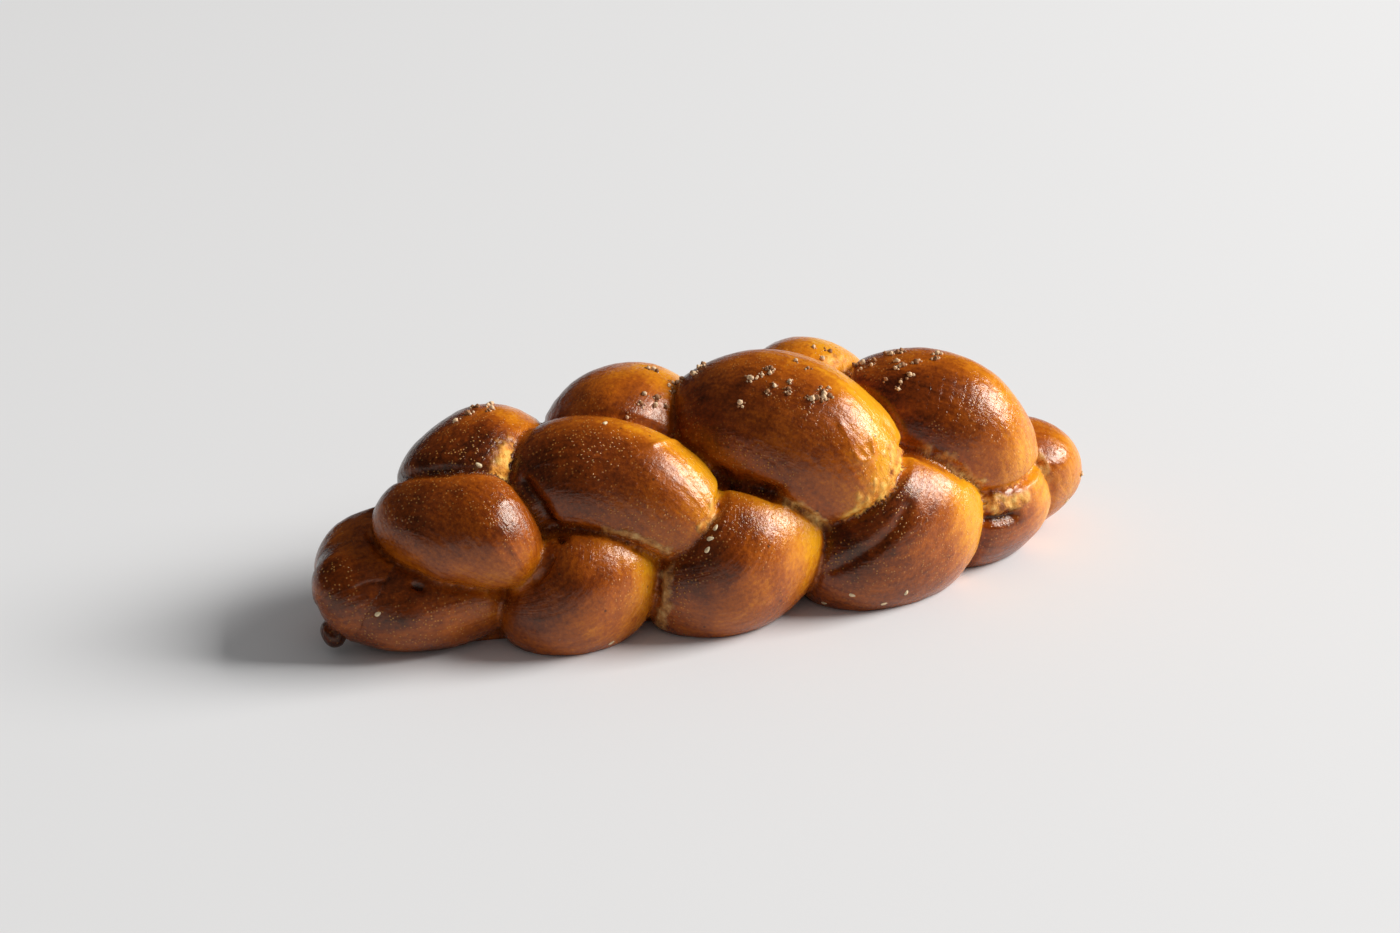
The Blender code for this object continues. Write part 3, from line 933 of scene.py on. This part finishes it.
def crust_material():
    paint = Shading("baked crust")
    torn = paint.attribute("tear")
    lengthwise = paint.stretched(paint.attribute("strand", "Vector"), ALONG_STREAKS)

    # The toast read here also holds the painted light and shade set on the crust's points
    # The noises lie evenly about one half, so half of their shares comes off again
    mottled_toast_and_light = paint.attribute("toast_and_light")
    for scale, detail, rough, along, share in MOTTLES:
        uneven = paint.noise(scale, detail, rough, lengthwise if along else None)
        mottled_toast_and_light = paint.maths("MULTIPLY_ADD", uneven, share, mottled_toast_and_light)
    mottled_toast_and_light = paint.maths("SUBTRACT", mottled_toast_and_light, sum(line[-1] for line in MOTTLES) / 2.0)
    crust = paint.ramp(mottled_toast_and_light, *CRUST_COLOURS)

    patch = paint.between(paint.noise(BLISTER_PATCH_SCALE, 2.0), *BLISTER_PATCH_RANGE)
    blister = paint.maths("MULTIPLY", paint.dots(*BLISTERS), patch)
    fleck = paint.dots(*FLECKS)
    crust = paint.mix(paint.maths("MULTIPLY", blister, BLISTER_SHARE), crust, SPECKLE_COLOUR)
    crust = paint.mix(paint.maths("MULTIPLY", fleck, FLECK_SHARE), crust, FLECK_COLOUR)

    crumb = paint.noise(*TORN_CRUMB)
    beige = paint.ramp(crumb, *TORN_BEIGE)
    gold = paint.ramp(crumb, *TORN_GOLD)
    dough = paint.mix(paint.attribute("gold"), beige, gold)
    paint.feed(paint.shader.inputs["Base Color"], paint.mix(torn, crust, dough))

    dull = paint.between(paint.noise(DULL_SCALE, 4.0), *DULL_RANGE, *CRUST_ROUGHNESS)
    rough = paint.maths("MULTIPLY_ADD", torn, TORN_DULLER, dull)
    paint.feed(paint.shader.inputs["Roughness"], rough)
    paint.shader.inputs["IOR"].default_value = CRUST_IOR
    paint.shader.inputs["Specular Tint"].default_value = GLOSS_COLOUR

    normal = None
    for scale, detail, rough, along, height in GRAINS:
        uneven = paint.noise(scale, detail, rough, lengthwise if along else None)
        normal = paint.bump(uneven, height, normal)
    normal = paint.bump(blister, BLISTER_HEIGHT, normal)
    normal = paint.bump(paint.maths("MULTIPLY", crumb, torn), TORN_HEIGHT, normal)
    paint.feed(paint.shader.inputs["Normal"], normal)
    return paint.material


def plain_material(name, colour, roughness):
    paint = Shading(name)
    dark = tuple(PLAIN_SHADE * channel for channel in colour)
    uneven = paint.noise(PLAIN_GRAIN, 4.0)
    stops = zip(PLAIN_STOPS, (dark, colour))
    paint.feed(paint.shader.inputs["Base Color"], paint.ramp(uneven, *stops))
    paint.shader.inputs["Roughness"].default_value = roughness
    paint.feed(paint.shader.inputs["Normal"], paint.bump(uneven, PLAIN_HEIGHT))
    return paint.material


def dress(piece, material, *replaced):
    """Gives a piece its material, body and slot, and hides the nodes of the solid that it stands for."""
    piece.data.materials.clear()
    piece.data.materials.append(material)
    piece.data.shade_smooth()
    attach(piece, "root")
    if replaced:
        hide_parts(*replaced)


def add_floor():
    corners = [(x * FLOOR_REACH, y * FLOOR_REACH, 0.0) for x, y in ((-1, -1), (1, -1), (1, 1), (-1, 1))]
    floor = new_object("floor", corners, [(0, 1, 2, 3)])
    paint = Shading("pale table")
    paint.shader.inputs["Base Color"].default_value = FLOOR_COLOUR
    paint.shader.inputs["Roughness"].default_value = FLOOR_ROUGHNESS
    floor.data.materials.append(paint.material)


def aim(obj, target):
    direction = Vector(target) - obj.location
    obj.rotation_euler = direction.to_track_quat("-Z", "Y").to_euler()


def add_camera():
    data = bpy.data.cameras.new("camera")
    data.lens = CAMERA_LENS
    data.sensor_width = SENSOR_WIDTH
    camera = bpy.data.objects.new("camera", data)
    bpy.context.scene.collection.objects.link(camera)
    a, e = math.radians(CAMERA_AZIMUTH), math.radians(CAMERA_ELEVATION)
    back = Vector((math.sin(a) * math.cos(e), -math.cos(a) * math.cos(e), math.sin(e)))
    camera.location = Vector(CAMERA_TARGET) + back * CAMERA_DISTANCE
    aim(camera, CAMERA_TARGET)
    bpy.context.scene.camera = camera


def add_key_light():
    data = bpy.data.lights.new("key", "AREA")
    data.shape = "RECTANGLE"
    data.size, data.size_y = KEY_SIZE
    data.energy = KEY_POWER
    data.color = KEY_COLOUR
    light = bpy.data.objects.new("key", data)
    bpy.context.scene.collection.objects.link(light)
    light.location = KEY_PLACE
    aim(light, KEY_AIM)


def add_world():
    """An even dim light that glossy surfaces mirror less than matt ones receive."""
    world = bpy.data.worlds.new("studio")
    bpy.context.scene.world = world
    world.use_nodes = True
    background = world.node_tree.nodes["Background"]
    background.inputs["Color"].default_value = WORLD_COLOUR
    path = world.node_tree.nodes.new("ShaderNodeLightPath")
    strength = world.node_tree.nodes.new("ShaderNodeMapRange")
    strength.inputs["To Min"].default_value = WORLD_STRENGTH
    strength.inputs["To Max"].default_value = WORLD_IN_GLOSS
    world.node_tree.links.new(path.outputs["Is Glossy Ray"], strength.inputs["Value"])
    world.node_tree.links.new(strength.outputs["Result"], background.inputs["Strength"])


def toast_and_painted_light(normals, skin, creases):
    """How toasted each point of the crust is, from golden to darkest, with painted light toward the key
    light and painted shade away from it, underneath, in seams and in creases.
    """
    # Partly stretched golden dough, partly painted light on the side and right end facing the key light
    golden_and_lit_side = GOLDEN_AND_LIT_PLACE * skin.place + normals @ np.array(GOLDEN_AND_LIT_SIDE)
    lit_golden_flank = smooth_step(golden_and_lit_side, *GOLDEN_AND_LIT_RANGE)
    golden = lit_golden_flank * np.array(GOLDEN_AND_LIT_ENDS)[skin.owner]
    # Painted light on the crests, where the top of each strand catches the light
    golden += PAINTED_CREST_LIGHT * smooth_step(normals[:, 2], *PAINTED_CREST_LIGHT_RANGE)
    # Partly oven browning, partly painted shade on the side of each strand turned away from the key light
    both_sides = np.abs(normals) * (0.0, 1.0, 0.0) + normals * (1.0, 0.0, 1.0)
    toasted_and_shaded = smooth_step(both_sides @ np.array(TOASTED_AND_SHADED_SIDE), *TOASTED_AND_SHADED_RANGE)
    # Painted shade on the underparts, which face down toward the table
    lower = smooth_step(-normals[:, 2], *PAINTED_SHADE_BELOW_RANGE) * (1.0 - lit_golden_flank)
    # Painted shade along the seams between strands, left out across the folded tip
    seam_shade = (1.0 - smooth_step(skin.gap, 0.0, SEAM_WIDTH)) * ~folded_seam(skin)
    toast_and_light = TOAST_LEVEL + SIDE_TOAST_AND_SHADE * toasted_and_shaded + PAINTED_SHADE_BELOW * lower + PAINTED_SEAM_SHADE * seam_shade
    # The right ends are partly less baked and partly painted light toward the key light
    toast_and_light -= GOLDEN_AND_LIT_LIGHTER * golden + RIGHT_END_GOLDEN_AND_LIT * skin.place
    toast_and_light += np.array(TOAST)[skin.owner]
    # Painted shade in the deepest creases
    return toast_and_light + PAINTED_HOLLOW_SHADE * np.maximum(creases - HOLLOW_DEPTH, 0.0)


def crust_mesh(strands):
    """The crust with all its relief, and what its material needs to know at each point."""
    crust = fused_crust(strands)
    mesh = crust.data
    edges = read_edges(mesh)
    points = smoothed(read_points(mesh), edges, rounds=2)
    points[:, 2] = np.maximum(points[:, 2], 0.0)
    points = blended_fold(points, edges, skin_of(points, strands))
    write_points(mesh, points)
    normals = read_normals(mesh)
    skin = skin_of(points, strands)
    skin.gap = smoothed(skin.gap[:, None], edges, rounds=8)[:, 0]
    tree = tree_of(mesh)
    torn, gold = torn_dough(points, skin, tree)
    creases = creased(points, tree)
    height = relief(points, skin, torn, creases)
    points = points + smoothed(normals, edges, rounds=3) * height[:, None]
    points = smoothed(points, edges, rounds=1)
    points[:, 2] = np.maximum(points[:, 2], 0.0)
    write_points(mesh, points)
    store(mesh, "toast_and_light", toast_and_painted_light(smoothed(normals, edges, rounds=30), skin, creases))
    store(mesh, "tear", torn)
    store(mesh, "gold", gold)
    store_vectors(mesh, "strand", skin.strand)
    return crust


strand_generator = random.Random(LUMP_SEED)
strands = [plait_lobe(strand_generator, *line) for line in PLAIT]
strands += [end_lobe(strand_generator, *line) for line in LOOSE_STRANDS]
crust = crust_mesh(strands)
crust_tree = tree_of(crust.data)
seeds = sesame_seeds(crust_tree)
pale, dark = crumbs(crust_tree)
for piece in (crust, seeds, pale, dark):
    piece.data.transform(Matrix.Translation(TO_PART_ORIGIN))
dress(crust, crust_material(), "loaf")
dress(seeds, plain_material("sesame", *SESAME))
dress(pale, plain_material("pale crumb", *PALE_CRUMB))
dress(dark, plain_material("dark crumb", *DARK_CRUMB))

bpy.context.scene.view_settings.view_transform = "Standard"
add_floor()
add_camera()
add_key_light()
add_world()
